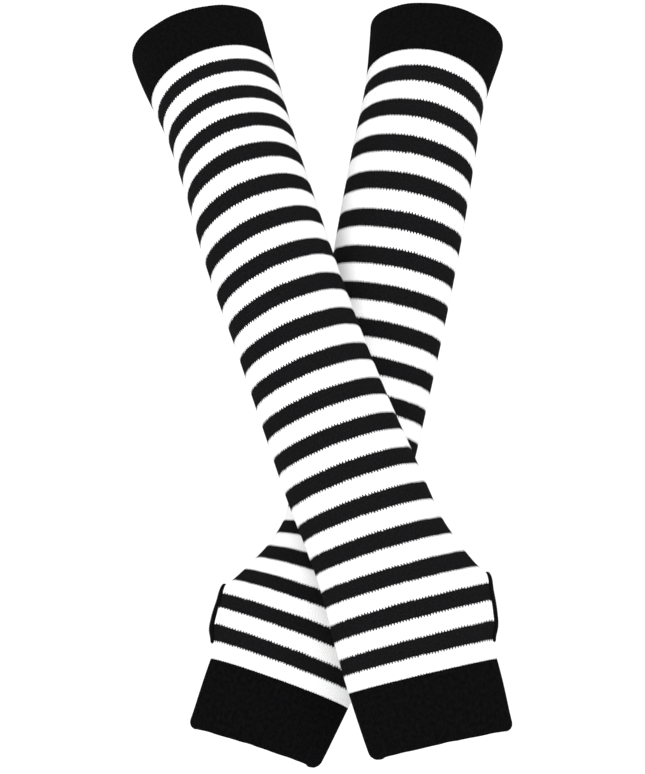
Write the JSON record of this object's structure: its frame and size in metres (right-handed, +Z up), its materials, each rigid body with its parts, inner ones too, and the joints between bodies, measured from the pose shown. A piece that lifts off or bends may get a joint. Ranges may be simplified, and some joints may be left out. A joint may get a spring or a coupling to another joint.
{
  "type": "pair of knitted arm warmers",
  "caption": "Pair of long knitted arm warmers in white and black bands, with plain black cuffs and thumb openings, crossed and filled out as on an arm.",
  "frame": {"origin": "centre of the near warmer's upper opening, where the wearer's upper arm holds it", "axes": "+X to the viewer's right, -Y to the viewer, +Z up, hands down"},
  "size_m": [0.2509, 0.2447, 0.4912],
  "materials": {
    "striped_knit": "matt stockinette knit in bands of white and black",
    "cuff_knit": "matt fine rib knit, black",
    "binding_thread": "black overlock stitches"
  },
  "bodies": {
    "root": {"near_hand_cuff": "cuff_knit", "near_sleeve_front": "striped_knit", "near_sleeve_back": "striped_knit", "near_thumb_binding": "binding_thread", "near_top_cuff": "cuff_knit", "far_hand_cuff": "cuff_knit", "far_sleeve_front": "striped_knit", "far_sleeve_back": "striped_knit", "far_thumb_binding": "binding_thread", "far_top_cuff": "cuff_knit"}
  },
  "joints": []
}
